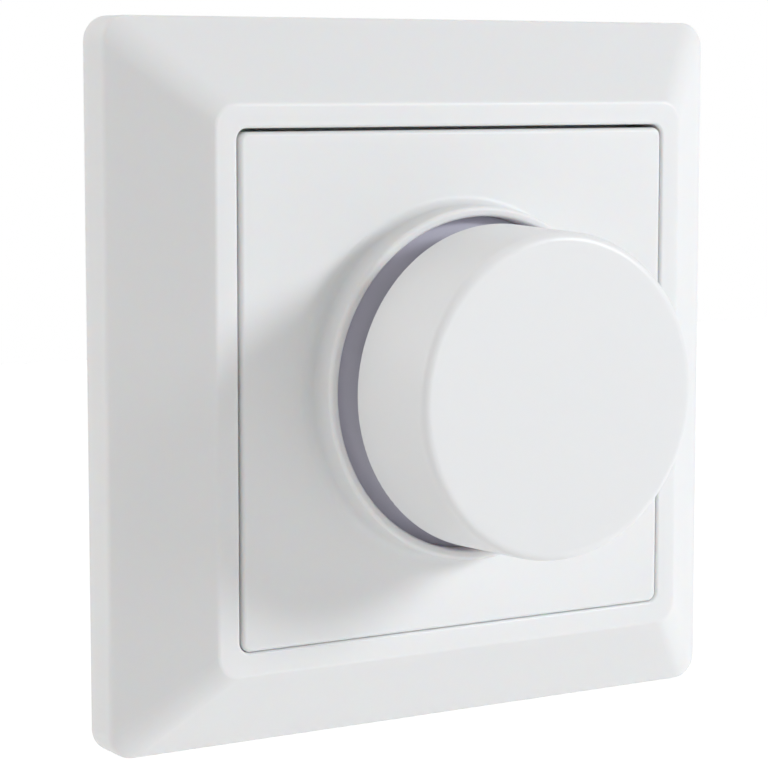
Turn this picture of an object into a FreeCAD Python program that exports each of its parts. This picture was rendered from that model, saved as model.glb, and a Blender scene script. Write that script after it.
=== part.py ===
import FreeCAD, Part
import math
import os

# Rotary dimmer with push switch for a 60 mm wall box, in millimetres.
# Each piece is drawn lying on its back: x to the right, y up the wall and z out of the wall,
# with z = 0 on the wall. The export turns it upright, so that the knob faces -Y and +Z is up.

# Cover frame
frame_edge_height = 4.5
frame_corner_radius = 2.8
frame_wall = 2.0
frame_edge_round = 0.8
face_height = 12.2
rim_width = 2.55
rim_corner_radius = 2.5
rim_edge_round = 0.6
opening_corner_radius = 1.25
opening_edge_round = 0.35
frame_skirt_wall = 1.3
ledge_width = 1.8
ledge_thickness = 1.4
frame_lift_share = 0.8
frame_left_share = 0.5

# Centre plate and its collar
plate_side = 55.8
plate_gap = 0.21
plate_wall = 1.8
plate_skirt_wall = 1.4
plate_edge_round = 0.5
collar_gap = 0.65
collar_wall = 1.1
collar_height = 4.4
collar_foot_round = 1.1
collar_crest_round = 0.45
collar_lip_round = 0.3

# Light ring
ring_depth = 2.7
ring_width = 4.2
ring_rise = 2.8
ring_wall = 0.8
ring_reach = 0.6
ring_fit = 0.05
ring_edge_round = 0.3
pipe_count = 4
pipe_radius = 1.2
pipe_room = 0.3
pipe_to_lamp = 0.3

# Knob
knob_foot_radius = 17.85
knob_front_radius = 17.5
knob_length = 12.7
knob_lift = 2.4
knob_front_round = 1.0
knob_foot_round = 0.5
knob_wall = 1.8
knob_top_wall = 2.0
hub_radius = 5.2
rib_count = 6
rib_thickness = 1.2
rib_setback = 3.0
clip_thickness = 0.4
clip_width = 3.6
clip_length = 8.0
clip_foot = 1.6

# Shaft and its travel
shaft_radius = 3.0
shaft_flat = 1.5
shaft_end_gap = 1.2
push_travel = 1.5
push_clearance = 0.9
shank_radius = 2.0
shank_flat = 1.2
head_radius = 2.6
head_thickness = 0.7
knob_fit = 0.03
running_fit = 0.05

# Encoder with its neck, nut and push switch
neck_radius = 5.0
neck_fit = 0.08
neck_end = 0.8
neck_flange_thickness = 0.9
encoder_width = 12.4
encoder_depth = 13.4
rotor_radius = 4.7
rotor_thickness = 1.6
rotor_side_gap = 0.2
rotor_top_gap = 0.25
rotor_floor_gap = 0.35
head_gap = 0.1
chamber_radius = 3.0
plunger_thickness = 0.6
plunger_side_gap = 0.15
spring_length = 3.6
spring_radius = 1.4
spring_wire = 0.3
spring_turns = 4.0
contact_side = 0.5
contact_inset = 0.35
contact_gap = 0.05
wiper_count = 3
wiper_thickness = 0.15
wiper_width = 0.7
wiper_length = 2.2
case_floor = 0.9
washer_radius = 7.4
washer_thickness = 0.5
nut_sides = 6
nut_across_flats = 14.0
nut_thickness = 3.0

# Support plate for the wall box
support_side_gap = 2.5
support_corner_cut = 10.0
support_corner_round = 2.0
support_thickness = 1.2
support_room = 0.2
box_screw_spacing = 60.0
box_slot_width = 3.6
box_slot_length = 6.4
box_slot_edge = 2.3
box_screw_head_room = 3.4

# Insert housing
housing_corner_cut = 9.0
housing_wall = 1.6
housing_floor = 1.8
housing_edge_round = 0.8
cover_step = 3.0
cover_height = 4.5
cover_flange = 2.0
boss_radius = 2.0
boss_length = 11.0
housing_screw_radius = 1.1
housing_screw_head_radius = 1.9
housing_screw_head = 1.3
housing_screw_end_gap = 1.0
housing_screw_setback = 2.1
housing_screw_head_side = 0.3
screw_fit = 0.02
screw_clearance = 0.15
screw_head_round = 0.4
drive_slot_width = 0.6
drive_slot_depth = 0.6

# Boards
board_room = 1.9
board_edge_gap = 1.4
board_thickness = 1.6
control_board_thickness = 1.2
standoff_height = 1.8
standoff_radius = 1.4
standoff_inset = 2.4
lamp_width = 2.0
lamp_height = 0.8
chip_side = 6.4
chip_height = 0.9
header_count = 4
header_pitch = 2.54
header_width = 2.5
header_height = 5.6
header_pin = 0.64
header_pin_depth = 3.0

# Terminals
terminal_count = 4
terminal_pitch = 6.6
cage_width = 5.2
cage_depth = 7.0
cage_height = 7.6
cage_wall = 0.9
cage_screw_wall = 1.6
cage_room = 0.15
cage_tail_width = 1.6
cage_tail_thickness = 0.8
cage_tail_length = 1.8
block_wall = 1.1
block_setback = 1.4
wire_mouth_width = 3.2
wire_mouth_height = 3.4
terminal_screw_radius = 1.5
terminal_screw_head_radius = 2.1
terminal_screw_head = 1.8
terminal_screw_reach = 1.0
terminal_screw_access = 2.4

# Power parts
part_gap = 1.0
part_headroom = 0.65
transistor_count = 2
transistor_width = 9.6
transistor_depth = 4.4
transistor_height = 8.2
transistor_leg_height = 1.0
transistor_leg_count = 3
transistor_leg_side = 0.8
transistor_leg_pitch = 2.54
transistor_spacing = 12.4
transistor_screw_radius = 1.4
transistor_screw_head_radius = 2.3
transistor_screw_head = 1.2
sheet_thickness = 0.2
spreader_width = 24.6
spreader_thickness = 1.5
spreader_setback = 0.6
spreader_gap = 0.3
choke_radius = 7.0
choke_hole_radius = 3.6
choke_height = 5.0
winding_thickness = 0.7
winding_sweep = 300.0
winding_fit = 0.02
film_length = 12.0
film_width = 5.6
film_height = 8.0
film_round = 0.5
bulk_radius = 3.6
bulk_height = 8.4
bulk_round = 0.5
varistor_radius = 3.8
varistor_thickness = 2.8
varistor_lead_count = 2
varistor_lead_height = 1.0
varistor_lead_side = 0.8
varistor_lead_pitch = 3.8
fuse_radius = 1.7
fuse_length = 10.0
fuse_cap_length = 2.0
fuse_cap_step = 0.15

# Tolerance for telling that an edge lies in a plane
same_plane = 0.001

# Sizes and places that follow from those above
support_side = box_screw_spacing + box_slot_length + 2 * box_slot_edge
frame_side = support_side + 2 * (support_side_gap + frame_wall)
opening_side = plate_side + 2 * plate_gap
rim_side = opening_side + 2 * rim_width
collar_bore = knob_foot_radius + collar_gap
collar_radius = collar_bore + collar_wall
collar_crest = face_height + collar_height
knob_low = collar_crest + knob_lift
knob_face = knob_low + knob_length
pocket_floor = face_height - plate_wall
ledge_bottom = support_thickness + box_screw_head_room
ledge_top = ledge_bottom + ledge_thickness
ring_top = collar_crest - ring_depth
ring_slope_top = ring_top + ring_rise
ring_wall_top = knob_low + ring_reach
ring_radius = collar_bore - ring_fit
ring_inner = ring_radius - ring_width
pipe_place = ring_radius - ring_width / 2
washer_top = pocket_floor + washer_thickness
nut_top = washer_top + nut_thickness
neck_top = nut_top + neck_end
hub_bottom = neck_top + push_travel + push_clearance
shaft_top = knob_face - knob_top_wall - shaft_end_gap
flange_top = cover_height - housing_wall
flange_bottom = flange_top - neck_flange_thickness
rotor_top = flange_bottom - rotor_top_gap
rotor_bottom = rotor_top - rotor_thickness
rotor_floor = rotor_bottom - rotor_floor_gap
shaft_shoulder = rotor_top + push_travel + push_clearance / 2
head_top = rotor_bottom - head_gap
head_bottom = head_top - head_thickness
plunger_bottom = head_bottom - plunger_thickness
chamber_floor = plunger_bottom - spring_length
case_bottom = chamber_floor - case_floor
control_board_bottom = case_bottom - control_board_thickness
winding_radius = choke_radius + winding_thickness
board_side = 2 * (winding_radius + bulk_radius) + film_length + 3 * part_gap + board_edge_gap
housing_inside = board_side + 2 * board_room
housing_side = housing_inside + 2 * housing_wall
cover_side = housing_side - 2 * cover_step
transistor_top = control_board_bottom - part_headroom
transistor_bottom = transistor_top - transistor_height
main_board_top = transistor_bottom - transistor_leg_height
main_board_bottom = main_board_top - board_thickness
tub_floor = main_board_bottom - standoff_height
tub_back = tub_floor - housing_floor
corner_screw_sum = housing_side - housing_corner_cut - housing_screw_setback * math.sqrt(2)
corner_screw_place = corner_screw_sum / 2
cover_corner_inset = (housing_screw_head_radius + housing_screw_head_side) * math.sqrt(2)
cover_cut = cover_side - corner_screw_sum + cover_corner_inset
block_low = -housing_inside / 2 + block_setback
block_side = (terminal_count - 1) * terminal_pitch + cage_width + 2 * (cage_room + block_wall)
cage_low = block_low + block_wall + cage_room
cage_back = tub_floor + block_wall
cage_front = cage_back + cage_height
block_high = cage_low + cage_depth + cage_room + block_wall
board_low = block_high + part_gap / 2


def point(x, y, z):
    return FreeCAD.Vector(x, y, z)


def box(x0, x1, y0, y1, z0, z1):
    return Part.makeBox(x1 - x0, y1 - y0, z1 - z0, point(x0, y0, z0))


def rod(radius, z0, z1, x=0.0, y=0.0):
    return Part.makeCylinder(radius, z1 - z0, point(x, y, z0))


def rod_up(radius, y0, y1, x, z):
    # A round rod that lies along y.
    return Part.makeCylinder(radius, y1 - y0, point(x, y0, z), point(0, 1, 0))


def tube(outer, inner, z0, z1, x=0.0, y=0.0):
    return rod(outer, z0, z1, x, y).cut(rod(inner, z0, z1, x, y))


def flat_rod(radius, flat, z0, z1):
    # A round rod with one flat on its right side.
    return rod(radius, z0, z1).cut(box(flat, 2 * radius, -2 * radius, 2 * radius, z0, z1))


def round_square_wire(side, radius, z):
    half = side / 2
    inner = half - radius
    slant = radius * math.sqrt(0.5)
    edges = []
    for turn in range(4):
        angle = math.radians(90 * turn)
        c = math.cos(angle)
        s = math.sin(angle)
        corners = [(half, -inner), (half, inner), (inner + slant, inner + slant), (inner, half)]
        spots = [point(c * x - s * y, s * x + c * y, z) for x, y in corners]
        edges.append(Part.LineSegment(spots[0], spots[1]).toShape())
        edges.append(Part.Arc(spots[1], spots[2], spots[3]).toShape())
    return Part.Wire(edges)


def round_square(side, radius, z0, z1):
    return Part.Face(round_square_wire(side, radius, z0)).extrude(point(0, 0, z1 - z0))


def cut_square(side, corner_cut, z0, z1):
    half = side / 2
    inner = half - corner_cut
    corners = [(half, -inner), (half, inner), (inner, half), (-inner, half)]
    corners += [(-half, inner), (-half, -inner), (-inner, -half), (inner, -half)]
    spots = [point(x, y, z0) for x, y in corners]
    face = Part.Face(Part.makePolygon(spots + spots[:1]))
    return face.extrude(point(0, 0, z1 - z0))


def soft_square(side, corner_cut, z0, z1, radius, soft_ends):
    # A cut square with rounded upright edges, and rounded edges on the ends that are named.
    block = cut_square(side, corner_cut, z0, z1)
    edges = [edge for edge in block.Edges if edge.BoundBox.ZLength > radius]
    for z in soft_ends:
        edges += edges_at(block, z)
    return block.makeFillet(radius, edges)


def inset_cut(corner_cut, inset):
    # The corner cut that keeps an even wall when the outline moves in.
    return corner_cut - inset * (2 - math.sqrt(2))


def turned(edges):
    # A full turn round the knob's axis of a closed profile of (radius, z) edges.
    return Part.Face(Part.Wire(edges)).revolve(point(0, 0, 0), point(0, 0, 1), 360)


def line(a, b):
    return Part.LineSegment(point(a[0], 0, a[1]), point(b[0], 0, b[1])).toShape()


def quarter(a, centre, b):
    # The short arc from a to b round a centre.
    radius = math.hypot(a[0] - centre[0], a[1] - centre[1])
    dx = (a[0] + b[0]) / 2 - centre[0]
    dz = (a[1] + b[1]) / 2 - centre[1]
    scale = radius / math.hypot(dx, dz)
    middle = point(centre[0] + dx * scale, 0, centre[1] + dz * scale)
    return Part.Arc(point(a[0], 0, a[1]), middle, point(b[0], 0, b[1])).toShape()


def edges_at(shape, z):
    found = []
    for edge in shape.Edges:
        bounds = edge.BoundBox
        if abs(bounds.ZMin - z) < same_plane and abs(bounds.ZMax - z) < same_plane:
            found.append(edge)
    return found


def edges_within(edges, side):
    # The edges that lie inside or on a centred square.
    found = []
    for edge in edges:
        middle = edge.CenterOfMass
        if max(abs(middle.x), abs(middle.y)) < side / 2 + same_plane:
            found.append(edge)
    return found


def turned_copies(shape, count, start=0.0):
    copies = []
    for index in range(count):
        copy = shape.copy()
        copy.rotate(point(0, 0, 0), point(0, 0, 1), start + 360.0 * index / count)
        copies.append(copy)
    return copies


def row_places(count, pitch):
    return [(index - (count - 1) / 2) * pitch for index in range(count)]


pieces = {}

# Cover frame: straight edge, bevel up to the flat rim, hollow behind. It has some play round the
# centre plate, and sits a little high and to the left in that play.
rise = face_height - frame_edge_height
run = (frame_side - rim_side) / 2
bevel = math.atan2(rise, run)
edge_block = round_square(frame_side, frame_corner_radius, 0, frame_edge_height)
lower_wire = round_square_wire(frame_side, frame_corner_radius, frame_edge_height)
upper_wire = round_square_wire(rim_side, rim_corner_radius, face_height)
outside = edge_block.fuse(Part.makeLoft([lower_wire, upper_wire], True, True)).removeSplitter()
outside = outside.makeFillet(frame_edge_round, edges_at(outside, frame_edge_height))
outside = outside.makeFillet(rim_edge_round, edges_at(outside, face_height))
hollow_side = frame_side - 2 * frame_wall
hollow_edge = frame_edge_height - frame_wall * (1 - math.sin(bevel)) / math.cos(bevel)
hollow_top = face_height - frame_wall
hollow_run = (frame_wall + (rise - frame_wall) * math.cos(bevel)) / math.sin(bevel)
hollow_top_side = frame_side - 2 * hollow_run
hollow_radius = frame_corner_radius - frame_wall / 2
hollow_lower = round_square(hollow_side, hollow_radius, 0, hollow_edge)
hollow_wires = [
    round_square_wire(hollow_side, hollow_radius, hollow_edge),
    round_square_wire(hollow_top_side, hollow_radius, hollow_top),
]
hollow = hollow_lower.fuse(Part.makeLoft(hollow_wires, True, True))
skirt_side = opening_side + 2 * frame_skirt_wall
skirt_radius = opening_corner_radius + frame_skirt_wall
skirt = round_square(skirt_side, skirt_radius, ledge_bottom, hollow_top)
opening = round_square(opening_side, opening_corner_radius, ledge_top, face_height)
ledge_hole_side = opening_side - 2 * ledge_width
ledge_hole = round_square(ledge_hole_side, opening_corner_radius, 0, face_height)
frame = outside.cut(hollow).fuse(skirt).cut(opening).cut(ledge_hole).removeSplitter()
frame = frame.makeFillet(opening_edge_round, edges_within(edges_at(frame, face_height), opening_side))
frame.translate(point(-frame_left_share * plate_gap, frame_lift_share * plate_gap, 0))
pieces["cover_frame"] = frame

# Centre plate: flat front with rounded edges, skirt that stands on the frame's ledge, and the collar.
plate_radius = opening_corner_radius - plate_gap
plate = round_square(plate_side, plate_radius, ledge_top, face_height)
plate = plate.makeFillet(plate_edge_round, edges_at(plate, face_height))
plate_inside = plate_side - 2 * plate_skirt_wall
plate = plate.cut(round_square(plate_inside, plate_radius, ledge_top, pocket_floor))
foot = (collar_radius + collar_foot_round, face_height)
foot_centre = (collar_radius + collar_foot_round, face_height + collar_foot_round)
wall_low = (collar_radius, face_height + collar_foot_round)
wall_high = (collar_radius, collar_crest - collar_crest_round)
crest_centre = (collar_radius - collar_crest_round, collar_crest - collar_crest_round)
crest_out = (collar_radius - collar_crest_round, collar_crest)
crest_in = (collar_bore + collar_lip_round, collar_crest)
lip_centre = (collar_bore + collar_lip_round, collar_crest - collar_lip_round)
lip = (collar_bore, collar_crest - collar_lip_round)
bore_low = (collar_bore, pocket_floor)
root = (collar_radius + collar_foot_round, pocket_floor)
collar = turned([
    line(bore_low, root),
    line(root, foot),
    quarter(foot, foot_centre, wall_low),
    line(wall_low, wall_high),
    quarter(wall_high, crest_centre, crest_out),
    line(crest_out, crest_in),
    quarter(crest_in, lip_centre, lip),
    line(lip, bore_low),
])
pocket_base = rod(collar_radius, pocket_floor - plate_wall, pocket_floor)
plate = plate.fuse(collar).fuse(pocket_base)
plate = plate.cut(rod(collar_bore, pocket_floor, collar_crest))
plate = plate.cut(rod(neck_radius + neck_fit, pocket_floor - plate_wall, pocket_floor))
pipe_hole = rod(pipe_radius + pipe_room, pocket_floor - plate_wall, pocket_floor, pipe_place)
for hole in turned_copies(pipe_hole, pipe_count, 180 / pipe_count):
    plate = plate.cut(hole)
pieces["centre_plate"] = plate.removeSplitter()

# Light ring: stands on the pocket's floor, rises inwards as a cone to a wall that reaches up into the
# knob's cup, and sends pipes down to the lamps.
lamp_top = case_bottom + lamp_height
ring_base_in = (ring_inner, pocket_floor)
ring_base_out = (ring_radius, pocket_floor)
ring_edge = (ring_radius, ring_top)
ring_slope_end = (ring_inner + ring_wall, ring_slope_top)
ring_crest_out = (ring_inner + ring_wall, ring_wall_top)
ring_crest_in = (ring_inner, ring_wall_top)
light_ring = turned([
    line(ring_base_in, ring_base_out),
    line(ring_base_out, ring_edge),
    line(ring_edge, ring_slope_end),
    line(ring_slope_end, ring_crest_out),
    line(ring_crest_out, ring_crest_in),
    line(ring_crest_in, ring_base_in),
])
light_ring = light_ring.makeFillet(ring_edge_round, edges_at(light_ring, ring_wall_top))
pipe = rod(pipe_radius, lamp_top + pipe_to_lamp, pocket_floor, pipe_place)
for leg in turned_copies(pipe, pipe_count, 180 / pipe_count):
    light_ring = light_ring.fuse(leg)
pieces["light_ring"] = light_ring

# Knob: drafted cup with a rounded front edge, ribs and a hub with a flatted bore.
knob = Part.makeCone(knob_foot_radius, knob_front_radius, knob_length, point(0, 0, knob_low))
knob = knob.makeFillet(knob_front_round, edges_at(knob, knob_face))
knob = knob.makeFillet(knob_foot_round, edges_at(knob, knob_low))
cup_foot = knob_foot_radius - knob_wall
cup_top = knob_front_radius - knob_wall
knob_ceiling = knob_face - knob_top_wall
cup = Part.makeCone(cup_foot, cup_top, knob_ceiling - knob_low, point(0, 0, knob_low))
knob = knob.cut(cup)
knob = knob.fuse(rod(hub_radius, hub_bottom, knob_ceiling))
rib_reach = cup_top + knob_wall / 2
rib = box(hub_radius - rib_thickness, rib_reach, -rib_thickness / 2, rib_thickness / 2,
          knob_low + rib_setback, knob_ceiling)
for arm in turned_copies(rib, rib_count, 180 / rib_count):
    knob = knob.fuse(arm)
bore_top = shaft_top + shaft_end_gap / 2
knob = knob.cut(flat_rod(shaft_radius + knob_fit, shaft_flat + knob_fit, hub_bottom, bore_top))
clip_high = hub_bottom + clip_length
clip_back = shaft_flat + clip_thickness
clip_half = clip_width / 2
knob = knob.cut(box(shaft_flat, clip_back, -clip_half, clip_half, hub_bottom, clip_high))
pieces["knob"] = knob.removeSplitter()

# Knob clip: steel leaf against the shaft's flat, hooked round the hub's end.
clip_leaf = box(shaft_flat, clip_back, -clip_half, clip_half, hub_bottom, clip_high)
clip_hook = box(shaft_flat, clip_back + clip_foot, -clip_half, clip_half,
                hub_bottom - clip_thickness, hub_bottom)
pieces["knob_clip"] = clip_leaf.fuse(clip_hook).removeSplitter()

# Control shaft: round in the neck, flatted in the knob and in the rotor, with a head below.
flat_start = hub_bottom - clip_thickness
shaft = rod(shaft_radius, shaft_shoulder, flat_start)
shaft = shaft.fuse(flat_rod(shaft_radius, shaft_flat, flat_start, shaft_top))
shaft = shaft.fuse(flat_rod(shank_radius, shank_flat, head_top, shaft_shoulder))
shaft = shaft.fuse(rod(head_radius, head_bottom, head_top))
pieces["control_shaft"] = shaft.removeSplitter()

# Encoder neck: square flange under the cover and a round threaded neck.
encoder_x = encoder_width / 2
encoder_y = encoder_depth / 2
neck = box(-encoder_x, encoder_x, -encoder_y, encoder_y, flange_bottom, flange_top)
neck = neck.fuse(rod(neck_radius, flange_top, neck_top))
neck = neck.cut(rod(shaft_radius + running_fit, flange_bottom, neck_top))
pieces["encoder_neck"] = neck.removeSplitter()

# Encoder case: room for the rotor above and for the push switch below.
case = box(-encoder_x, encoder_x, -encoder_y, encoder_y, case_bottom, flange_bottom)
case = case.cut(rod(rotor_radius + rotor_side_gap, rotor_floor, flange_bottom))
case = case.cut(rod(chamber_radius, chamber_floor, rotor_floor))
contact_x = chamber_radius - contact_inset - contact_side / 2
contact_top = plunger_bottom - push_travel - contact_gap
contact_half = contact_side / 2
contacts = []
for x in (-contact_x, contact_x):
    contacts.append(box(x - contact_half, x + contact_half, -contact_half, contact_half,
                        case_bottom, contact_top))
for contact in contacts:
    case = case.cut(contact)
pieces["encoder_case"] = case
pieces["switch_contacts"] = Part.makeCompound(contacts)

# Encoder rotor: disc turned by the shaft's flat.
rotor = rod(rotor_radius, rotor_bottom, rotor_top)
rotor = rotor.cut(flat_rod(shank_radius + running_fit, shank_flat + running_fit,
                           rotor_bottom, rotor_top))
pieces["encoder_rotor"] = rotor

# Encoder wipers: three leaves on the floor of the rotor's room.
wiper_place = (chamber_radius + rotor_radius + rotor_side_gap) / 2
wiper = box(wiper_place - wiper_width / 2, wiper_place + wiper_width / 2,
            -wiper_length / 2, wiper_length / 2, rotor_floor, rotor_floor + wiper_thickness)
pieces["encoder_wipers"] = Part.makeCompound(turned_copies(wiper, wiper_count, 90))

# Switch plunger and the coil spring that lifts it.
pieces["switch_plunger"] = rod(chamber_radius - plunger_side_gap, plunger_bottom, head_bottom)
wire_radius = spring_wire / 2
coil_height = spring_length - spring_wire
coil = Part.makeHelix(coil_height / spring_turns, coil_height, spring_radius)
coil.translate(point(0, 0, chamber_floor + wire_radius))
wire_start = point(spring_radius, 0, chamber_floor + wire_radius)
wire_circle = Part.Wire(Part.makeCircle(wire_radius, wire_start, point(0, 1, 0)))
pieces["switch_spring"] = Part.Wire(coil.Edges).makePipeShell([wire_circle], True, True)

# Neck washer and nut: clamp the centre plate, and with it the frame, to the insert.
pieces["neck_washer"] = tube(washer_radius, neck_radius + neck_fit, pocket_floor, washer_top)
nut_corner = nut_across_flats / 2 / math.cos(math.pi / nut_sides)
nut_spots = []
for index in range(nut_sides):
    angle = 2 * math.pi * index / nut_sides
    nut_spots.append(point(nut_corner * math.cos(angle), nut_corner * math.sin(angle), washer_top))
nut = Part.Face(Part.makePolygon(nut_spots + nut_spots[:1])).extrude(point(0, 0, nut_thickness))
pieces["neck_nut"] = nut.cut(rod(neck_radius + neck_fit, washer_top, nut_top))

# Support plate: lies on the wall, with a slot for a box screw on each side.
support = cut_square(support_side, support_corner_cut, 0, support_thickness)
upright_edges = [edge for edge in support.Edges if edge.BoundBox.ZLength > support_thickness / 2]
support = support.makeFillet(support_corner_round, upright_edges)
support_hole_side = cover_side + 2 * support_room
support_hole_cut = inset_cut(cover_cut, -support_room)
support = support.cut(cut_square(support_hole_side, support_hole_cut, 0, support_thickness))
slot_radius = box_slot_width / 2
slot_straight = box_slot_length - box_slot_width
slot_middle = box_screw_spacing / 2
slot_inner = slot_middle - slot_straight / 2
slot_outer = slot_middle + slot_straight / 2
slot = rod(slot_radius, 0, support_thickness, slot_inner)
slot = slot.fuse(rod(slot_radius, 0, support_thickness, slot_outer))
slot = slot.fuse(box(slot_inner, slot_outer, -slot_radius, slot_radius, 0, support_thickness))
for hole in turned_copies(slot.removeSplitter(), 4):
    support = support.cut(hole)
screw_corners = []
for x in (-corner_screw_place, corner_screw_place):
    for y in (-corner_screw_place, corner_screw_place):
        screw_corners.append((x, y))
passing_radius = housing_screw_radius + screw_clearance
for x, y in screw_corners:
    support = support.cut(rod(passing_radius, 0, support_thickness, x, y))
pieces["support_plate"] = support

# Housing cover: stepped front shell that the support plate drops over.
cover = soft_square(housing_side, housing_corner_cut, -cover_flange, 0, housing_edge_round, [])
cover_front = soft_square(cover_side, cover_cut, 0, cover_height, housing_edge_round, [cover_height])
cover = cover.fuse(cover_front)
cover_inside = cover_side - 2 * housing_wall
cover_inside_cut = inset_cut(cover_cut, housing_wall)
cover = cover.cut(cut_square(cover_inside, cover_inside_cut, -cover_flange, flange_top))
cover = cover.cut(rod(neck_radius + neck_fit, flange_top, cover_height))
pipe_window = rod(pipe_radius + pipe_room, flange_top, cover_height, pipe_place)
for hole in turned_copies(pipe_window, pipe_count, 180 / pipe_count):
    cover = cover.cut(hole)
for x, y in screw_corners:
    cover = cover.cut(rod(passing_radius, -cover_flange, 0, x, y))
pieces["housing_cover"] = cover.removeSplitter()

# Housing tub: rear shell with screw bosses, standoffs, wire mouths and screwdriver holes.
tub_outside = soft_square(housing_side, housing_corner_cut, tub_back, -cover_flange,
                          housing_edge_round, [tub_back])
inside_cut = inset_cut(housing_corner_cut, housing_wall)
tub = tub_outside.cut(cut_square(housing_inside, inside_cut, tub_floor, -cover_flange))
boss_bottom = -cover_flange - boss_length
for x, y in screw_corners:
    tub = tub.fuse(rod(boss_radius, boss_bottom, -cover_flange, x, y).common(tub_outside))
board_half = board_side / 2
board_cut = housing_corner_cut
standoff_x = board_half - board_cut
standoff_y = (board_low + standoff_inset, board_half - standoff_inset)
for x in (-standoff_x, standoff_x):
    for y in standoff_y:
        tub = tub.fuse(rod(standoff_radius, tub_floor, main_board_bottom, x, y))
for x, y in screw_corners:
    tub = tub.cut(rod(housing_screw_radius + screw_fit, boss_bottom, -cover_flange, x, y))
terminal_x = row_places(terminal_count, terminal_pitch)
mouth_x = wire_mouth_width / 2
mouth_low = cage_low + cage_screw_wall + cage_room
mouth_high = mouth_low + wire_mouth_height
screw_z = cage_back + cage_height / 2
for x in terminal_x:
    tub = tub.cut(box(x - mouth_x, x + mouth_x, mouth_low, mouth_high, tub_back, tub_floor))
    tub = tub.cut(rod_up(terminal_screw_access, -housing_side / 2, -housing_inside / 2, x, screw_z))
pieces["housing_tub"] = tub.removeSplitter()

# Housing screws: hold support plate, cover and tub together.
screws = []
screw_head_top = support_thickness + housing_screw_head
driver_floor = screw_head_top - drive_slot_depth
slot_half = drive_slot_width / 2
for x, y in screw_corners:
    screw = rod(housing_screw_radius, boss_bottom + housing_screw_end_gap, support_thickness, x, y)
    head = rod(housing_screw_head_radius, support_thickness, screw_head_top, x, y)
    screw = screw.fuse(head.makeFillet(screw_head_round, edges_at(head, screw_head_top)))
    reach = housing_screw_head_radius
    driver_slot = box(x - reach, x + reach, y - slot_half, y + slot_half, driver_floor, screw_head_top)
    screws.append(screw.cut(driver_slot).removeSplitter())
pieces["housing_screws"] = Part.makeCompound(screws)

# Control board with its lamps and chip.
control_board = cut_square(board_side, board_cut, control_board_bottom, case_bottom)
pieces["control_board"] = control_board
lamp_half = lamp_width / 2
lamp = box(pipe_place - lamp_half, pipe_place + lamp_half, -lamp_half, lamp_half,
           case_bottom, lamp_top)
pieces["indicator_leds"] = Part.makeCompound(turned_copies(lamp, pipe_count, 180 / pipe_count))
chip_x = encoder_x + part_gap
chip_half = chip_side / 2
pieces["control_chip"] = box(chip_x, chip_x + chip_side, -chip_half, chip_half,
                             case_bottom, case_bottom + chip_height)

# Main board: above the terminal block, on the standoffs.
main_board = cut_square(board_side, board_cut, main_board_bottom, main_board_top)
main_board = main_board.cut(box(-board_half, board_half, -board_half, board_low,
                                main_board_bottom, main_board_top))
pieces["main_board"] = main_board

# Header between the boards.
header_side = header_count * header_pitch
header_left = -board_half + part_gap
header_low = board_low + part_gap + cage_tail_length
socket_top = main_board_top + header_height
socket = box(header_left, header_left + header_side, header_low, header_low + header_width,
             main_board_top, socket_top)
pins = []
pin_half = header_pin / 2
pin_y = header_low + header_width / 2
for index in range(header_count):
    x = header_left + (index + 0.5) * header_pitch
    pins.append(box(x - pin_half, x + pin_half, pin_y - pin_half, pin_y + pin_half,
                    socket_top - header_pin_depth, control_board_bottom))
for pin in pins:
    socket = socket.cut(pin)
pieces["header_socket"] = socket
pieces["header_pins"] = Part.makeCompound(pins)

# Terminal block with a brass cage and a clamping screw for each wire.
block_x = block_side / 2
block = box(-block_x, block_x, block_low, block_high, tub_floor, cage_front)
cages = []
terminal_screws = []
cage_x = cage_width / 2
room_x = cage_x + cage_room
cage_high = cage_low + cage_depth
passage_x = cage_x - cage_wall
passage_low = cage_low + cage_screw_wall
passage_high = cage_high - cage_wall
tail_x = cage_tail_width / 2
tail_high = board_low + cage_tail_length
tail_top = main_board_top + cage_tail_thickness
screw_head_low = -housing_side / 2 + housing_wall / 2
screw_head_high = screw_head_low + terminal_screw_head
for x in terminal_x:
    block = block.cut(box(x - room_x, x + room_x, cage_low - cage_room, cage_high + cage_room,
                          cage_back, cage_front))
    block = block.cut(box(x - mouth_x, x + mouth_x, mouth_low, mouth_high, tub_floor, cage_back))
    block = block.cut(rod_up(terminal_screw_access, block_low, cage_low, x, screw_z))
    tail_room = tail_x + cage_room
    block = block.cut(box(x - tail_room, x + tail_room, cage_high, block_high,
                          main_board_top, cage_front))
    cage = box(x - cage_x, x + cage_x, cage_low, cage_high, cage_back, cage_front)
    cage = cage.cut(box(x - passage_x, x + passage_x, passage_low, passage_high,
                        cage_back, cage_front))
    cage = cage.cut(rod_up(terminal_screw_radius + screw_fit, cage_low, passage_low, x, screw_z))
    tail = box(x - tail_x, x + tail_x, cage_high, tail_high, main_board_top, tail_top)
    cages.append(cage.fuse(tail).removeSplitter())
    tip = passage_low + terminal_screw_reach
    screw = rod_up(terminal_screw_radius, screw_head_high, tip, x, screw_z)
    screw = screw.fuse(rod_up(terminal_screw_head_radius, screw_head_low, screw_head_high, x, screw_z))
    reach = terminal_screw_head_radius
    driver_slot = box(x - reach, x + reach, screw_head_low, screw_head_low + drive_slot_depth,
                      screw_z - slot_half, screw_z + slot_half)
    terminal_screws.append(screw.cut(driver_slot).removeSplitter())
pieces["terminal_block"] = block
pieces["terminal_cages"] = Part.makeCompound(cages)
pieces["terminal_screws"] = Part.makeCompound(terminal_screws)

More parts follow.
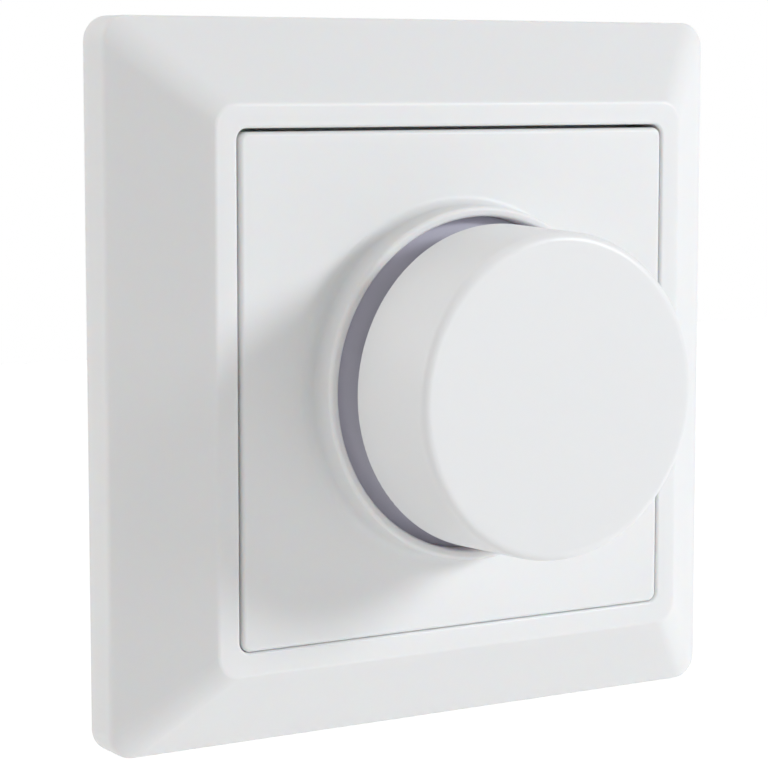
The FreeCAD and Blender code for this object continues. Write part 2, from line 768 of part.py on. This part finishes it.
# Power transistors on their insulating sheet and heat spreader.
spreader_high = housing_inside / 2 - spreader_gap
spreader_low = spreader_high - spreader_thickness
sheet_low = spreader_low - sheet_thickness
transistor_low = sheet_low - transistor_depth
spreader_x = spreader_width / 2
spreader_top = transistor_top - spreader_setback
spreader = box(-spreader_x, spreader_x, spreader_low, spreader_high, tub_floor, spreader_top)
sheet = box(-spreader_x, spreader_x, sheet_low, spreader_low, transistor_bottom, spreader_top)
transistors = []
transistor_screws = []
transistor_x = transistor_width / 2
leg_half = transistor_leg_side / 2
leg_y = transistor_low + transistor_depth / 2
fixing_z = (transistor_bottom + spreader_top) / 2
for x in row_places(transistor_count, transistor_spacing):
    body = box(x - transistor_x, x + transistor_x, transistor_low, sheet_low,
               transistor_bottom, transistor_top)
    for shift in row_places(transistor_leg_count, transistor_leg_pitch):
        body = body.fuse(box(x + shift - leg_half, x + shift + leg_half,
                             leg_y - leg_half, leg_y + leg_half, main_board_top, transistor_bottom))
    through = transistor_screw_radius + screw_clearance
    body = body.cut(rod_up(through, transistor_low, sheet_low, x, fixing_z))
    sheet = sheet.cut(rod_up(through, sheet_low, spreader_low, x, fixing_z))
    tapped = transistor_screw_radius + screw_fit
    spreader = spreader.cut(rod_up(tapped, spreader_low, spreader_high, x, fixing_z))
    transistors.append(body.removeSplitter())
    screw = rod_up(transistor_screw_radius, transistor_low, spreader_high, x, fixing_z)
    fixing_head_low = transistor_low - transistor_screw_head
    screw = screw.fuse(rod_up(transistor_screw_head_radius, fixing_head_low, transistor_low,
                              x, fixing_z))
    reach = transistor_screw_head_radius
    driver_slot = box(x - reach, x + reach, fixing_head_low, fixing_head_low + drive_slot_depth,
                      fixing_z - slot_half, fixing_z + slot_half)
    transistor_screws.append(screw.cut(driver_slot).removeSplitter())
pieces["power_transistors"] = Part.makeCompound(transistors)
pieces["transistor_screws"] = Part.makeCompound(transistor_screws)
pieces["insulating_sheet"] = sheet
pieces["heat_spreader"] = spreader

# Choke: ring core with its winding, flat on the left of the main board.
choke_x = -board_half + part_gap + winding_radius
choke_y = transistor_low - transistor_screw_head - part_gap - winding_radius
core_bottom = main_board_top + winding_thickness
core_top = core_bottom + choke_height
core = tube(choke_radius, choke_hole_radius, core_bottom, core_top, choke_x, choke_y)
pieces["choke_core"] = core
coil_inner = choke_hole_radius - winding_thickness
winding_spots = [
    point(choke_x + coil_inner, choke_y, main_board_top),
    point(choke_x + winding_radius, choke_y, main_board_top),
    point(choke_x + winding_radius, choke_y, core_top + winding_thickness),
    point(choke_x + coil_inner, choke_y, core_top + winding_thickness),
]
winding_face = Part.Face(Part.makePolygon(winding_spots + winding_spots[:1]))
choke_centre = point(choke_x, choke_y, 0)
winding = winding_face.revolve(choke_centre, point(0, 0, 1), winding_sweep)
core_room = tube(choke_radius + winding_fit, choke_hole_radius - winding_fit,
                 core_bottom, core_top + winding_fit, choke_x, choke_y)
pieces["choke_winding"] = winding.cut(core_room)

# Film capacitor, bulk capacitor, varistor and fuse on the right of the main board.
right_start = choke_x + winding_radius + part_gap
film_high = transistor_low - transistor_screw_head - part_gap
film_low = film_high - film_width
film = box(right_start, right_start + film_length, film_low, film_high,
           main_board_top, main_board_top + film_height)
film = film.makeFillet(film_round, edges_at(film, main_board_top + film_height))
pieces["film_capacitor"] = film
bulk_x = right_start + film_length + part_gap + bulk_radius
bulk_y = film_high - bulk_radius
bulk = rod(bulk_radius, main_board_top, main_board_top + bulk_height, bulk_x, bulk_y)
bulk = bulk.makeFillet(bulk_round, edges_at(bulk, main_board_top + bulk_height))
pieces["bulk_capacitor"] = bulk
varistor_x = right_start + varistor_radius
varistor_low = film_low - part_gap - varistor_thickness
varistor_z = main_board_top + varistor_lead_height + varistor_radius
varistor = rod_up(varistor_radius, varistor_low, varistor_low + varistor_thickness,
                  varistor_x, varistor_z)
lead_y = varistor_low + varistor_thickness / 2
lead_half = varistor_lead_side / 2
for shift in row_places(varistor_lead_count, varistor_lead_pitch):
    varistor = varistor.fuse(box(varistor_x + shift - lead_half, varistor_x + shift + lead_half,
                                 lead_y - lead_half, lead_y + lead_half,
                                 main_board_top, varistor_z))
pieces["varistor"] = varistor.removeSplitter()
fuse_left = header_left + header_side + part_gap
fuse_y = header_low + fuse_radius
fuse_z = main_board_top + fuse_radius
fuse = Part.makeCylinder(fuse_radius - fuse_cap_step, fuse_length,
                         point(fuse_left, fuse_y, fuse_z), point(1, 0, 0))
for x in (fuse_left, fuse_left + fuse_length - fuse_cap_length):
    fuse = fuse.fuse(Part.makeCylinder(fuse_radius, fuse_cap_length,
                                       point(x, fuse_y, fuse_z), point(1, 0, 0)))
pieces["fuse"] = fuse.removeSplitter()

# Export, turned upright so that the knob faces -Y.
os.makedirs("parts", exist_ok=True)
for name, shape in pieces.items():
    upright = shape.copy()
    upright.rotate(point(0, 0, 0), point(1, 0, 0), 90)
    upright.exportStep("parts/" + name + ".step")
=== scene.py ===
import bmesh
import bpy
import math
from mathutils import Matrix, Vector


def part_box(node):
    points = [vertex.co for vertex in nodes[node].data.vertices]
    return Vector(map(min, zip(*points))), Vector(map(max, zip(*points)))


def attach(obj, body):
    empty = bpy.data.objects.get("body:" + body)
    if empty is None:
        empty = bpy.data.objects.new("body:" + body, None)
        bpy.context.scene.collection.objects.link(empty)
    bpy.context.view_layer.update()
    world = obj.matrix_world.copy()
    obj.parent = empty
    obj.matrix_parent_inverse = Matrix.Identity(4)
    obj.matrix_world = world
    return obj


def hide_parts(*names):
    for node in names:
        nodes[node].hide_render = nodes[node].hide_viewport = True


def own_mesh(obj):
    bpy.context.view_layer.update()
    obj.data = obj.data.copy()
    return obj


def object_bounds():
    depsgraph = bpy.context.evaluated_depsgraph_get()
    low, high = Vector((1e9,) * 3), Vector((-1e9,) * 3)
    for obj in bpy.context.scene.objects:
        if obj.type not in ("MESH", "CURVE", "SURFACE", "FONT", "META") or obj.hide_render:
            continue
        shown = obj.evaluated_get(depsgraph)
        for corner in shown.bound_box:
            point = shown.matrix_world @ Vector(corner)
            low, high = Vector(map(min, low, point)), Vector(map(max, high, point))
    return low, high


# The looks of a rotary wall dimmer: white moulded frame, plate and knob, a grey light ring between
# collar and knob, and behind the wall plane the steel support plate and the grey insert.
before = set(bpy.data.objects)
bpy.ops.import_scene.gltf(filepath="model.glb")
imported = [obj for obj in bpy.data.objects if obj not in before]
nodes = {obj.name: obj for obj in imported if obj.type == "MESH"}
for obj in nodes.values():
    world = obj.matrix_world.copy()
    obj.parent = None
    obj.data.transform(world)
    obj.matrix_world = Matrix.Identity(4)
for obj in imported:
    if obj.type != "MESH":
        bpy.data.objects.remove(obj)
cad_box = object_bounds()
scene = bpy.context.scene
scene.view_settings.view_transform = "Standard"

MM = 0.001

# How near the coil's points lie that are one, and the angle past which its edges stay sharp.
COIL_MERGE = 0.001 * MM
SHARP_ANGLE = math.radians(40)

# The camera stands to the left of the dimmer, a little above it, and looks slightly down.
CAMERA_PLACE = (-0.16415, -0.25841, 0.03301)
CAMERA_TILT = 83.555
CAMERA_TURN = -32.04
CAMERA_LENS = 124.85
CAMERA_SENSOR = 36.0
CAMERA_NEAR = 0.01
CAMERA_FAR = 100.0

# One soft lamp to the right of the dimmer and above it, slightly cool.
LAMP_DIRECTION = Vector((0.6528, -0.6855, 0.3223))
LAMP_DISTANCE = 1.0
LAMP_WIDTH = 0.24
LAMP_POWER = 4.85
LAMP_COLOUR = "F7FBFF"

# An even surround, and the soft panels in it: direction, level and tightness of each. They stand above
# the left side, to the left, above, in front and behind.
SURROUND_LEVEL = 0.03
PANELS = [
    ((-0.70, 0.40, 0.60), 3.1, 20.0),
    ((-0.97, 0.18, 0.12), 2.6, 20.0),
    ((0.0, 0.10, 1.0), 2.5, 20.0),
    ((0.0, -1.0, 0.0), 1.72, 6.0),
    ((0.30, 0.95, 0.10), 0.7, 2.0),
]

# The floor lies well below the dimmer, which hangs free as on a display.
FLOOR_DROP = 0.3
FLOOR_HALF = 3.0
FLOOR_COLOUR = "F1F1F1"
FLOOR_GLOW = 0.5

# How far each colour of light spreads under a milky surface, as shares of the depth.
WHITE_SPREAD = (1.0, 0.75, 0.6)
OPAL_SPREAD = (1.0, 1.0, 1.1)

# Patterns of the finishes, in millimetres: the flow marks in plastic, the mottle of coats, the unit of
# the boards' tracks and their glass weave, and the ridges of wound wire. The weave is drawn coarser
# than the real one, so that it shows at all.
FLOW_WIDTH = 22.0
MOTTLE_WIDTH = 1.5
MOTTLE_DEPTH = 0.01
TRACK_UNIT = 3.0
WEAVE_WIDTH = 0.45
WEAVE_DEPTH = 0.01
RIDGE_DEPTH = 0.15

# Roughness of the solder mask over the two directions of the weave, and of enamelled wire in the groove
# between two turns and on top of a turn.
MASK_ROUGHNESS = (0.3, 0.38)
GROOVE_ROUGHNESS = 0.5
CREST_ROUGHNESS = 0.25
CHOKE_TURNS = 44

# Bare metal at the ends of coated components, and how much of each component is bare.
BARE_COLOUR = "C8C8C4"
BARE_ROUGHNESS = 0.28
LEG_HEIGHT = 1.0 * MM
BARE_TOP = 0.5 * MM
CAP_LENGTH = 2.0 * MM

# A quarter turn, which lays a flat pattern on faces that look along Y.
QUARTER_TURN = (math.radians(90), 0.0, 0.0)


def linear(hex_colour):
    """An sRGB hex colour as the linear RGBA that the shaders take."""
    parts = [int(hex_colour[i:i + 2], 16) / 255 for i in (0, 2, 4)]
    return tuple(c / 12.92 if c <= 0.04045 else ((c + 0.055) / 1.055) ** 2.4 for c in parts) + (1.0,)


def add(tree, kind, values=None, links=None, **settings):
    """Adds one shader node: its settings, the values of its sockets, and what feeds its sockets."""
    made = tree.nodes.new("ShaderNode" + kind)
    for name, value in settings.items():
        setattr(made, name, value)
    for socket, value in (values or {}).items():
        made.inputs[socket].default_value = value
    for socket, source in (links or {}).items():
        tree.links.new(source, made.inputs[socket])
    return made


def per_metre(size_mm):
    """The texture scale at which one feature is about that many millimetres wide."""
    return 1.0 / (size_mm * MM)


def new_material(name):
    """An empty material: itself, its tree, its object coordinates and its shader."""
    material = bpy.data.materials.new(name)
    material.use_nodes = True
    tree = material.node_tree
    tree.nodes.clear()
    place = add(tree, "TexCoord").outputs["Object"]
    shader = add(tree, "BsdfPrincipled")
    add(tree, "OutputMaterial", links={"Surface": shader.outputs["BSDF"]})
    return material, tree, place, shader


def dress(tree, shader, colour, roughness, height, depth_mm):
    """Feeds a shader its colour, its roughness and a relief of that depth."""
    relief = add(tree, "Bump", {"Strength": 1.0, "Distance": depth_mm * MM}, {"Height": height})
    tree.links.new(colour, shader.inputs["Base Color"])
    tree.links.new(roughness, shader.inputs["Roughness"])
    tree.links.new(relief.outputs["Normal"], shader.inputs["Normal"])


def moulded(name, colour, shade, roughness, spread, grain_mm, depth_mm, ior=1.53):
    """Injection-moulded plastic: a colour that drifts slightly with the flow of the melt, and the
    fine grain of the mould, which breaks up the gloss."""
    material, tree, place, shader = new_material(name)
    flow = add(tree, "TexNoise", {"Scale": per_metre(FLOW_WIDTH), "Detail": 2.0}, {"Vector": place})
    tint = add(tree, "Mix", {6: linear(colour), 7: linear(shade)}, {0: flow.outputs["Fac"]},
               data_type="RGBA")
    grain = add(tree, "TexNoise", {"Scale": per_metre(grain_mm), "Detail": 2.0}, {"Vector": place})
    gloss = add(tree, "MapRange", {"To Min": roughness - spread, "To Max": roughness + spread},
                {"Value": grain.outputs["Fac"]})
    shader.inputs["IOR"].default_value = ior
    dress(tree, shader, tint.outputs[2], gloss.outputs["Result"], grain.outputs["Fac"], depth_mm)
    return material


def milky(material, weight, depth_mm, spread):
    """Lets light a little way in under the surface, which fills narrow gaps and softens edges."""
    shader = material.node_tree.nodes["Principled BSDF"]
    shader.inputs["Subsurface Weight"].default_value = weight
    shader.inputs["Subsurface Scale"].default_value = depth_mm * MM
    shader.inputs["Subsurface Radius"].default_value = spread


def metal(name, colour, shade, roughness, spread, bloom_mm, line_mm, depth_mm, stretch):
    """Bare or plated metal: soft blooms of colour from the bath, and fine lines left by rolling,
    drawing or turning, which spread the highlights across them."""
    material, tree, place, shader = new_material(name)
    bloom = add(tree, "TexNoise", {"Scale": per_metre(bloom_mm), "Detail": 4.0}, {"Vector": place})
    tint = add(tree, "Mix", {6: linear(colour), 7: linear(shade)}, {0: bloom.outputs["Fac"]},
               data_type="RGBA")
    along = add(tree, "Mapping", {"Scale": stretch}, {"Vector": place})
    lines = add(tree, "TexNoise", {"Scale": per_metre(line_mm), "Detail": 3.0},
                {"Vector": along.outputs["Vector"]})
    gloss = add(tree, "MapRange", {"To Min": roughness - spread, "To Max": roughness + spread},
                {"Value": lines.outputs["Fac"]})
    shader.inputs["Metallic"].default_value = 1.0
    dress(tree, shader, tint.outputs[2], gloss.outputs["Result"], lines.outputs["Fac"], depth_mm)
    return material


def coated(name, colour, shade, roughness, axis, middle, reach):
    """A coated or sleeved component whose metal is bare beyond a reach from the middle of its coat,
    so that its leads or caps shine and its body doesn't."""
    material, tree, place, shader = new_material(name)
    mottle = add(tree, "TexNoise", {"Scale": per_metre(MOTTLE_WIDTH), "Detail": 3.0}, {"Vector": place})
    coat = add(tree, "Mix", {6: linear(colour), 7: linear(shade)}, {0: mottle.outputs["Fac"]},
               data_type="RGBA")
    along = add(tree, "SeparateXYZ", links={0: place}).outputs[axis]
    offset = add(tree, "Math", {1: middle}, {0: along}, operation="SUBTRACT")
    away = add(tree, "Math", links={0: offset.outputs[0]}, operation="ABSOLUTE")
    bare = add(tree, "Math", {1: reach}, {0: away.outputs[0]}, operation="GREATER_THAN")
    tint = add(tree, "Mix", {7: linear(BARE_COLOUR)}, {0: bare.outputs[0], 6: coat.outputs[2]},
               data_type="RGBA")
    gloss = add(tree, "MapRange", {"To Min": roughness, "To Max": BARE_ROUGHNESS},
                {"Value": bare.outputs[0]})
    tree.links.new(bare.outputs[0], shader.inputs["Metallic"])
    dress(tree, shader, tint.outputs[2], gloss.outputs["Result"], mottle.outputs["Fac"], MOTTLE_DEPTH)
    return material


def middle_of(name, axis):
    """The middle of a node along one axis, and half its length there."""
    side = "XYZ".index(axis)
    low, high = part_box(name)
    return (low[side] + high[side]) / 2, (high[side] - low[side]) / 2


def circuit_board(name, colour, shade, track):
    """Glass-fibre board under green solder mask: the tracks stand out paler below the mask, and the
    weave of the glass shows as a faint relief."""
    material, tree, place, shader = new_material(name)
    flat = add(tree, "Mapping", {"Rotation": QUARTER_TURN}, {"Vector": place}).outputs["Vector"]
    tracks = add(tree, "TexBrick",
                 {"Color1": linear(colour), "Color2": linear(shade), "Mortar": linear(track),
                  "Scale": per_metre(TRACK_UNIT), "Mortar Size": 0.05, "Brick Width": 2.4,
                  "Row Height": 0.4}, {"Vector": flat})
    weave = add(tree, "TexChecker", {"Scale": per_metre(WEAVE_WIDTH)}, {"Vector": flat}).outputs["Fac"]
    gloss = add(tree, "MapRange", {"To Min": MASK_ROUGHNESS[0], "To Max": MASK_ROUGHNESS[1]},
                {"Value": weave})
    dress(tree, shader, tracks.outputs["Color"], gloss.outputs["Result"], weave, WEAVE_DEPTH)
    return material


def wound_wire(name, colour, shade, core, turns):
    """Enamelled copper wire round a ring core: each turn is a rounded ridge across the ring, and the
    groove beside the next turn is painted darker, as painted shade."""
    material, tree, place, shader = new_material(name)
    centre = [middle_of(core, axis)[0] for axis in "XYZ"]
    round_core = add(tree, "Mapping", {"Location": centre, "Rotation": QUARTER_TURN}, {"Vector": place},
                     vector_type="TEXTURE")
    sweep = add(tree, "TexGradient", links={"Vector": round_core.outputs["Vector"]},
                gradient_type="RADIAL")
    phase = add(tree, "Math", {1: turns * math.tau}, {0: sweep.outputs["Fac"]}, operation="MULTIPLY")
    wave = add(tree, "Math", links={0: phase.outputs[0]}, operation="SINE")
    ridge = add(tree, "MapRange", {"From Min": -1.0}, {"Value": wave.outputs[0]})
    # Painted shade: the colour darkens from the crest of each turn to the groove beside the next.
    tint = add(tree, "Mix", {6: linear(shade), 7: linear(colour)}, {0: ridge.outputs["Result"]},
               data_type="RGBA")
    gloss = add(tree, "MapRange", {"To Min": GROOVE_ROUGHNESS, "To Max": CREST_ROUGHNESS},
                {"Value": ridge.outputs["Result"]})
    shader.inputs["Metallic"].default_value = 1.0
    dress(tree, shader, tint.outputs[2], gloss.outputs["Result"], ridge.outputs["Result"], RIDGE_DEPTH)
    return material


def seen_rays(tree):
    """1 for the rays that see or mirror the surround, 0 for those that light the dimmer."""
    ray = add(tree, "LightPath")
    mirrored = add(tree, "Math", operation="MAXIMUM",
                   links={0: ray.outputs["Is Glossy Ray"], 1: ray.outputs["Is Transmission Ray"]})
    shown = add(tree, "Math", operation="MAXIMUM",
                links={0: ray.outputs["Is Camera Ray"], 1: mirrored.outputs[0]})
    return shown.outputs[0]


# Camera
camera = bpy.data.objects.new("camera", bpy.data.cameras.new("camera"))
scene.collection.objects.link(camera)
camera.location = CAMERA_PLACE
camera.rotation_euler = (math.radians(CAMERA_TILT), 0.0, math.radians(CAMERA_TURN))
camera.data.lens = CAMERA_LENS
camera.data.sensor_width = CAMERA_SENSOR
camera.data.clip_start = CAMERA_NEAR
camera.data.clip_end = CAMERA_FAR
scene.camera = camera

# Lamp
lamp = bpy.data.objects.new("soft_lamp", bpy.data.lights.new("soft_lamp", "AREA"))
scene.collection.objects.link(lamp)
lamp.data.shape = "DISK"
lamp.data.size = LAMP_WIDTH
lamp.data.energy = LAMP_POWER
lamp.data.color = linear(LAMP_COLOUR)[:3]
lamp.location = LAMP_DIRECTION.normalized() * LAMP_DISTANCE
lamp.rotation_euler = LAMP_DIRECTION.to_track_quat("Z", "Y").to_euler()

# Surround: the even level and the panels light the dimmer, and plain white is what is seen or mirrored.
world = bpy.data.worlds.new("studio_surround")
scene.world = world
world.use_nodes = True
tree = world.node_tree
tree.nodes.clear()
outward = add(tree, "TexCoord").outputs["Generated"]
level = add(tree, "Value").outputs[0]
level.default_value = SURROUND_LEVEL
for direction, panel_level, tightness in PANELS:
    aim = Vector(direction).normalized()
    towards = add(tree, "VectorMath", {1: aim}, {0: outward}, operation="DOT_PRODUCT")
    facing = add(tree, "Math", {1: 0.0}, {0: towards.outputs["Value"]}, operation="MAXIMUM")
    fade = add(tree, "Math", {1: tightness}, {0: facing.outputs[0]}, operation="POWER")
    level = add(tree, "Math", {1: panel_level}, {0: fade.outputs[0], 2: level},
                operation="MULTIPLY_ADD").outputs[0]
lighting = add(tree, "Background", {"Color": linear("FFFFFF")}, {"Strength": level})
white = add(tree, "Background", {"Color": linear("FFFFFF"), "Strength": 1.0})
both = add(tree, "MixShader", links={0: seen_rays(tree), 1: lighting.outputs[0], 2: white.outputs[0]})
add(tree, "OutputWorld", links={"Surface": both.outputs[0]})

# Floor: pale card, which is seen as white except in the dimmer's shadow.
floor_shape = bmesh.new()
bmesh.ops.create_grid(floor_shape, x_segments=1, y_segments=1, size=FLOOR_HALF)
bmesh.ops.translate(floor_shape, vec=(0.0, 0.0, cad_box[0].z - FLOOR_DROP), verts=floor_shape.verts)
floor_mesh = bpy.data.meshes.new("floor")
floor_shape.to_mesh(floor_mesh)
floor_shape.free()
floor = bpy.data.objects.new("floor", floor_mesh)
scene.collection.objects.link(floor)
card = bpy.data.materials.new("pale_floor_card")
card.use_nodes = True
tree = card.node_tree
tree.nodes.clear()
paper = add(tree, "BsdfDiffuse", {"Color": linear(FLOOR_COLOUR)})
glow = add(tree, "Emission", {"Strength": FLOOR_GLOW})
bright = add(tree, "AddShader", links={0: paper.outputs[0], 1: glow.outputs[0]})
both = add(tree, "MixShader", links={0: seen_rays(tree), 1: paper.outputs[0], 2: bright.outputs[0]})
add(tree, "OutputMaterial", links={"Surface": both.outputs[0]})
floor_mesh.materials.append(card)

# White ABS from a satin mould: the frame and the plate. The grain is drawn ten times coarser than
# the real one, so that it shows at all.
white_satin = moulded(
    "white_abs_satin_moulded", "ECECEC", "EBEBEB",
    roughness=0.46, spread=0.04, grain_mm=0.3, depth_mm=0.0015)
milky(white_satin, weight=0.8, depth_mm=0.8, spread=WHITE_SPREAD)
# White ABS from a polished mould: the knob is a little glossier than the frame.
white_polished = moulded(
    "white_abs_polished_moulded", "ECECEC", "EBEBEB",
    roughness=0.4, spread=0.03, grain_mm=0.3, depth_mm=0.001)
milky(white_polished, weight=0.3, depth_mm=0.5, spread=WHITE_SPREAD)
# Opal polycarbonate with its lamps off: milky grey-violet, and light spreads a little inside it.
opal_grey = moulded(
    "opal_polycarbonate_light_guide", "D2D0DC", "CECCDA",
    roughness=0.35, spread=0.03, grain_mm=0.4, depth_mm=0.001, ior=1.58)
milky(opal_grey, weight=0.2, depth_mm=0.5, spread=OPAL_SPREAD)
# Glass-filled polyamide: the shells of the insert, matt with a coarse grain.
grey_polyamide = moulded(
    "grey_polyamide_moulded", "A9ABAD", "A1A3A6",
    roughness=0.55, spread=0.08, grain_mm=0.45, depth_mm=0.015)
# Black glass-filled polyester: encoder, chip, header and terminal block, matt.
black_polyester = moulded(
    "black_polyester_moulded", "1E1E1F", "252526",
    roughness=0.5, spread=0.06, grain_mm=0.4, depth_mm=0.004, ior=1.57)
# Clear epoxy over a pale phosphor: the lamps look creamy when they are off.
clear_epoxy = moulded(
    "clear_epoxy_lamp_case", "F0EAD0", "EDE5C6",
    roughness=0.2, spread=0.03, grain_mm=0.5, depth_mm=0.001, ior=1.5)
# Polyester box filled with resin: the film capacitor, yellow and fairly glossy.
yellow_case = moulded(
    "yellow_polyester_film_case", "D9B23A", "D3AA33",
    roughness=0.3, spread=0.04, grain_mm=0.4, depth_mm=0.002)
# Silicone-filled sheet: soft grey-beige, dull.
silicone_sheet = moulded(
    "silicone_insulating_sheet", "B9B2A2", "B1AA9B",
    roughness=0.7, spread=0.05, grain_mm=0.3, depth_mm=0.004, ior=1.41)
# Sintered ferrite: dark grey ceramic with a dry, slightly speckled surface.
ferrite = moulded(
    "sintered_ferrite_core", "2E2E30", "3A3A3C",
    roughness=0.6, spread=0.08, grain_mm=0.35, depth_mm=0.01, ior=2.3)

# Sheet steel with zinc plating: pale bluish metal, cloudy, with rolling lines.
zinc_sheet = metal(
    "zinc_plated_rolled_sheet_steel", "CDD0D2", "A6ACB1",
    roughness=0.36, spread=0.12, bloom_mm=7, line_mm=0.6, depth_mm=0.01, stretch=(1.0, 1.0, 0.04))
# Turned steel with zinc plating: the nut and the screws, brighter than the sheet.
zinc_screw = metal(
    "zinc_plated_turned_steel", "CCCED0", "BCC0C3",
    roughness=0.3, spread=0.06, bloom_mm=3, line_mm=0.3, depth_mm=0.002, stretch=(1.0, 1.0, 1.0))
# Spring steel strip and wire: grey, drawn, unplated.
spring_steel = metal(
    "spring_steel_drawn", "A9AAAA", "9A9C9C",
    roughness=0.3, spread=0.05, bloom_mm=4, line_mm=0.3, depth_mm=0.001, stretch=(1.0, 0.05, 1.0))
# Turned brass: the shaft and the terminal cages, warm yellow with fine tool rings.
brass = metal(
    "brass_turned", "CBA968", "B99650",
    roughness=0.3, spread=0.06, bloom_mm=5, line_mm=0.3, depth_mm=0.002, stretch=(0.05, 1.0, 0.05))
# Zinc casting with nickel plating: the encoder's neck. Its rings stand for the thread, 0.75 mm apart.
nickel_cast = metal(
    "nickel_plated_zinc_casting", "C4C2BC", "B5B3AC",
    roughness=0.35, spread=0.07, bloom_mm=4, line_mm=0.75, depth_mm=0.08, stretch=(0.02, 1.0, 0.02))
# Tinned bronze strip: wipers, contacts, plunger and pins.
tinned_bronze = metal(
    "tinned_bronze_strip", "D3C8AC", "C6B998",
    roughness=0.32, spread=0.06, bloom_mm=2, line_mm=0.2, depth_mm=0.001, stretch=(1.0, 0.05, 1.0))
# Rolled aluminium: the heat spreader, bright and brushed along its length.
rolled_aluminium = metal(
    "aluminium_rolled_sheet", "D0D2D3", "C5C7C9",
    roughness=0.36, spread=0.07, bloom_mm=8, line_mm=0.4, depth_mm=0.002, stretch=(0.04, 1.0, 1.0))

# Solder mask over copper tracks on glass-fibre board.
solder_mask = circuit_board("green_solder_mask_board", "1F6B42", "1C6640", track="2F8556")
# Enamelled copper wire, wound in one layer, with painted shade in the grooves between turns.
copper_wire = wound_wire("enamelled_copper_winding", "B5683A", "5A2B16", core="choke_core",
                         turns=CHOKE_TURNS)
# Moulded epoxy body with tinned legs below it.
body_middle, body_half = middle_of("power_transistors", "Y")
transistor_epoxy = coated(
    "black_epoxy_with_tinned_legs", "1B1B1C", "222223", roughness=0.5, axis="Y",
    middle=body_middle - LEG_HEIGHT / 2, reach=body_half - LEG_HEIGHT / 2)
# Dipped epoxy disc with tinned leads.
coat_middle, coat_half = middle_of("varistor", "Y")
varistor_coat = coated(
    "blue_dipped_epoxy_with_leads", "2B5FA8", "28579B", roughness=0.35, axis="Y",
    middle=coat_middle - LEG_HEIGHT / 2, reach=coat_half - LEG_HEIGHT / 2)
# Shrunk vinyl sleeve that leaves the aluminium top of the can bare.
can_middle, can_half = middle_of("bulk_capacitor", "Y")
can_sleeve = coated(
    "black_vinyl_sleeve_on_can", "202128", "26272E", roughness=0.3, axis="Y",
    middle=can_middle + BARE_TOP / 2, reach=can_half - BARE_TOP / 2)
# Glazed ceramic tube between plated caps.
tube_middle, tube_half = middle_of("fuse", "X")
fuse_ceramic = coated(
    "glazed_ceramic_tube_with_caps", "E4E1D8", "DCD9CF", roughness=0.25, axis="X",
    middle=tube_middle, reach=tube_half - CAP_LENGTH)

finishes = {
    white_satin: ["cover_frame", "centre_plate"],
    white_polished: ["knob"],
    opal_grey: ["light_ring"],
    grey_polyamide: ["housing_cover", "housing_tub"],
    black_polyester: ["encoder_case", "encoder_rotor", "control_chip", "header_socket",
                      "terminal_block"],
    clear_epoxy: ["indicator_leds"],
    yellow_case: ["film_capacitor"],
    silicone_sheet: ["insulating_sheet"],
    ferrite: ["choke_core"],
    zinc_sheet: ["support_plate", "neck_washer"],
    zinc_screw: ["neck_nut", "housing_screws", "terminal_screws", "transistor_screws"],
    spring_steel: ["knob_clip", "switch_spring"],
    brass: ["control_shaft", "terminal_cages"],
    nickel_cast: ["encoder_neck"],
    tinned_bronze: ["encoder_wipers", "switch_plunger", "switch_contacts", "header_pins"],
    rolled_aluminium: ["heat_spreader"],
    solder_mask: ["control_board", "main_board"],
    copper_wire: ["choke_winding"],
    transistor_epoxy: ["power_transistors"],
    varistor_coat: ["varistor"],
    can_sleeve: ["bulk_capacitor"],
    fuse_ceramic: ["fuse"],
}
for material, names in finishes.items():
    for name in names:
        nodes[name].data.materials.clear()
        nodes[name].data.materials.append(material)

# Push spring: the coil stands on the floor of its chamber. It is the CAD's coil with its loose
# triangles joined and shaded smooth, apart from its cut ends.
coil_shape = bmesh.new()
coil_shape.from_mesh(nodes["switch_spring"].data)
bmesh.ops.remove_doubles(coil_shape, verts=coil_shape.verts, dist=COIL_MERGE)
coil_mesh = bpy.data.meshes.new("push_spring")
coil_shape.to_mesh(coil_mesh)
coil_shape.free()
coil_mesh.attributes.remove(coil_mesh.attributes["custom_normal"])
coil_mesh.shade_smooth()
coil_mesh.set_sharp_from_angle(angle=SHARP_ANGLE)
coil_mesh.materials.append(spring_steel)
push_spring = bpy.data.objects.new("push_spring", coil_mesh)
scene.collection.objects.link(push_spring)
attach(push_spring, "base")
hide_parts("switch_spring")
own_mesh(push_spring)
